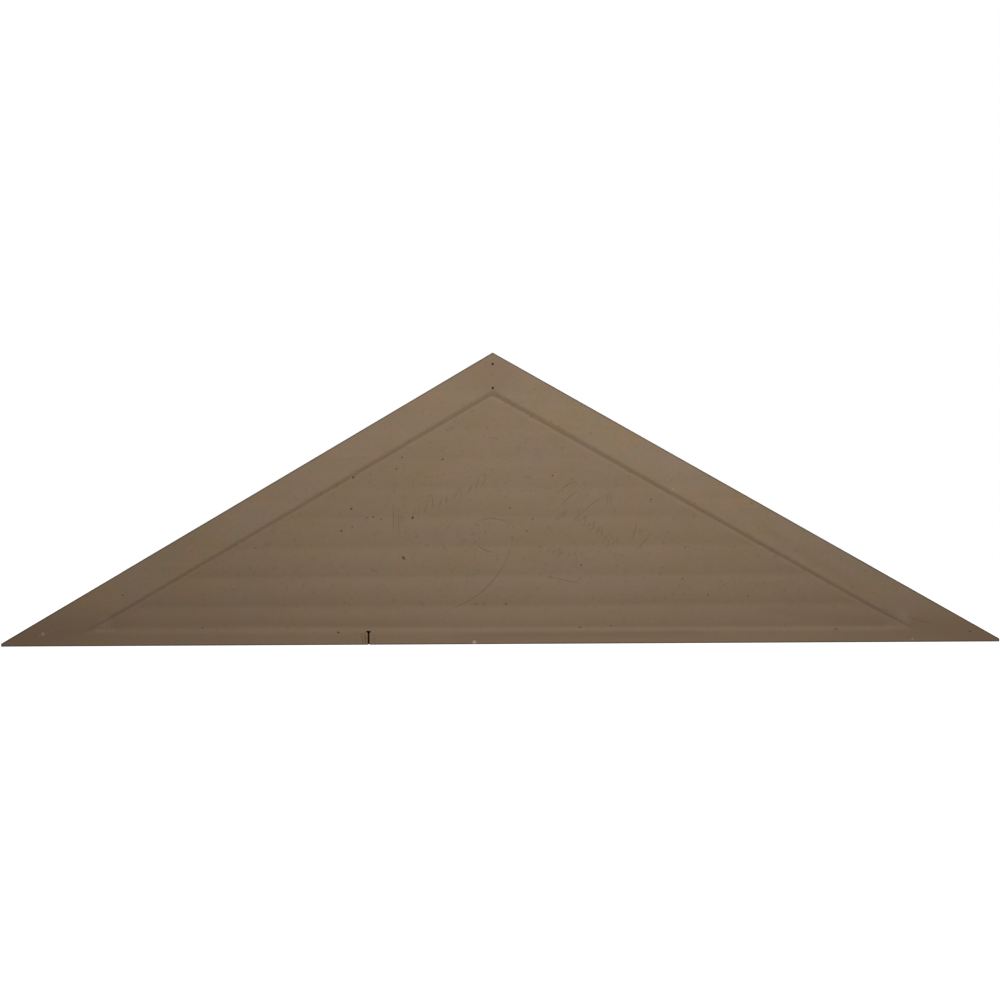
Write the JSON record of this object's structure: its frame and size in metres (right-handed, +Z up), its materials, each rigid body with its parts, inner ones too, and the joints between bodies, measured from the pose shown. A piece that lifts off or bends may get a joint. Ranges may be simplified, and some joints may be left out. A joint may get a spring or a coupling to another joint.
{
  "type": "gable louver vent",
  "caption": "Low triangular decorative gable vent in moulded foam, with a flat recessed back and a trimmed front of horizontal louvers.",
  "frame": {"origin": "on the flat back face, midway between the tips and half way up the flat of the bottom rim", "axes": "+X along the bottom edge, to the right as the back is seen; +Y from the back to the louvered front; +Z up to the apex"},
  "size_m": [1.676, 0.054, 0.489],
  "materials": {
    "primed_foam": "tan primed rigid urethane foam, dull, faintly mottled"
  },
  "bodies": {
    "root": {"gable_louver_vent": "primed_foam"}
  },
  "joints": []
}
